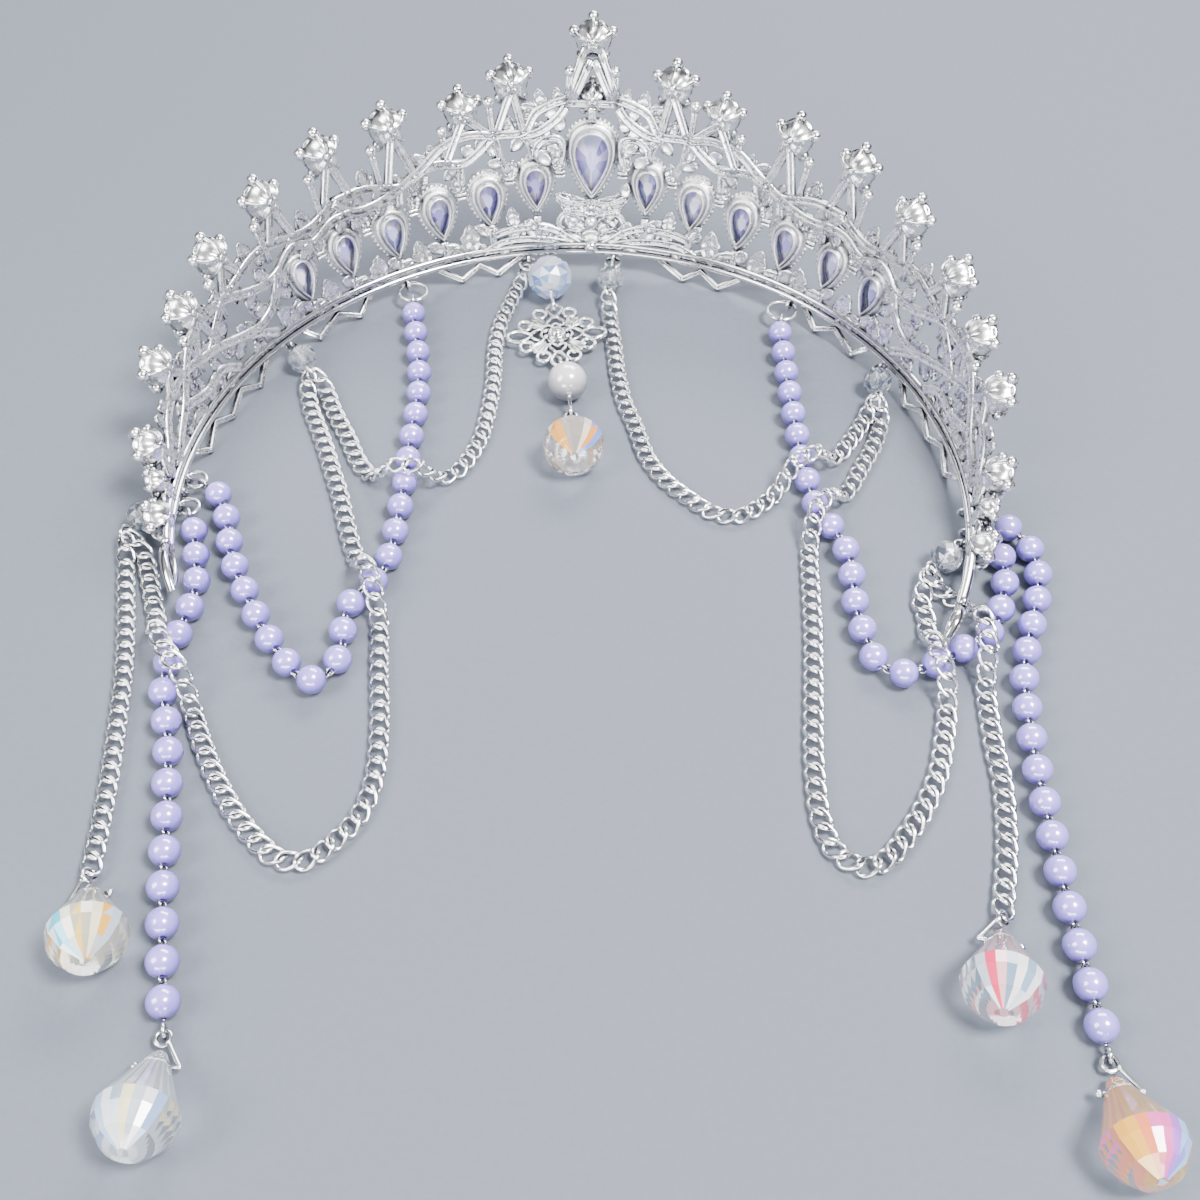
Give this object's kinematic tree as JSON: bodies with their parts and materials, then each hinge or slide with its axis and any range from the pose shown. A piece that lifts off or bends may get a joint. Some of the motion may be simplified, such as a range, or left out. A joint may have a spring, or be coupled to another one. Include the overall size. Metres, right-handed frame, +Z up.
{
  "type": "tiara",
  "caption": "Curved pierced silver tiara with pear and round stones, hung with lilac pearl strands, curb chains and crystal drops.",
  "frame": {"origin": "centre of the band circle, on the surface that the points of the lower edge and the strands rest on", "axes": "+Y towards the high front of the tiara, +X to the right seen from behind it, +Z up along the height of the wall"},
  "size_m": [0.1707, 0.2146, 0.0522],
  "materials": {
    "silver_metal": "bright silver plate over cast metal",
    "silver_wire": "bright silver plate",
    "iridescent_stone": "cut, iridescent coating",
    "lilac_pearl": "pearlescent",
    "white_pearl": "pearlescent",
    "clear_crystal": "cut, polished",
    "ice_crystal": "cut, pale blue coating",
    "iridescent_crystal": "cut, iridescent coating"
  },
  "bodies": {
    "root": {"crown_frame": "silver_metal", "centre_pear_stone": "iridescent_stone", "peak_stone": "iridescent_stone", "crest_stone": "iridescent_stone", "pear_stone_left_1": "iridescent_stone", "pear_stone_left_2": "iridescent_stone", "pear_stone_left_3": "iridescent_stone", "pear_stone_left_4": "iridescent_stone", "pear_stone_left_5": "iridescent_stone", "pear_stone_left_6": "iridescent_stone", "pear_stone_right_1": "iridescent_stone", "pear_stone_right_2": "iridescent_stone", "pear_stone_right_3": "iridescent_stone", "pear_stone_right_4": "iridescent_stone", "pear_stone_right_5": "iridescent_stone", "pear_stone_right_6": "iridescent_stone", "star_stones_left": "iridescent_stone", "star_stones_right": "iridescent_stone", "pearls_left_swag": "lilac_pearl", "pearls_left_tail": "lilac_pearl", "pearls_right_swag": "lilac_pearl", "pearls_right_tail": "lilac_pearl", "thread_left_swag": "silver_wire", "thread_left_tail": "silver_wire", "thread_right_swag": "silver_wire", "thread_right_tail": "silver_wire", "chain_left_short": "silver_wire", "chain_left_long": "silver_wire", "chain_left_tail": "silver_wire", "chain_right_short": "silver_wire", "chain_right_long": "silver_wire", "chain_right_tail": "silver_wire", "clear_bead_left": "clear_crystal", "clear_bead_centre": "clear_crystal", "clear_bead_right": "clear_crystal", "clear_bead_left_end": "clear_crystal", "clear_bead_right_end": "clear_crystal", "bead_pin_left": "silver_wire", "bead_pin_centre": "silver_wire", "bead_pin_right": "silver_wire", "bead_pin_left_end": "silver_wire", "bead_pin_right_end": "silver_wire", "big_bead": "ice_crystal", "big_bead_pin": "silver_wire", "filigree_plate": "silver_metal", "white_pearl": "white_pearl", "pendant_pin": "silver_wire", "drop_centre": "iridescent_crystal", "drop_left_chain": "iridescent_crystal", "drop_left_pearl": "iridescent_crystal", "drop_right_chain": "iridescent_crystal", "drop_right_pearl": "iridescent_crystal", "headpin_centre": "silver_wire", "headpin_left_chain": "silver_wire", "headpin_left_pearl": "silver_wire", "headpin_right_chain": "silver_wire", "headpin_right_pearl": "silver_wire", "jump_rings_left": "silver_wire", "jump_rings_right": "silver_wire"}
  },
  "joints": []
}
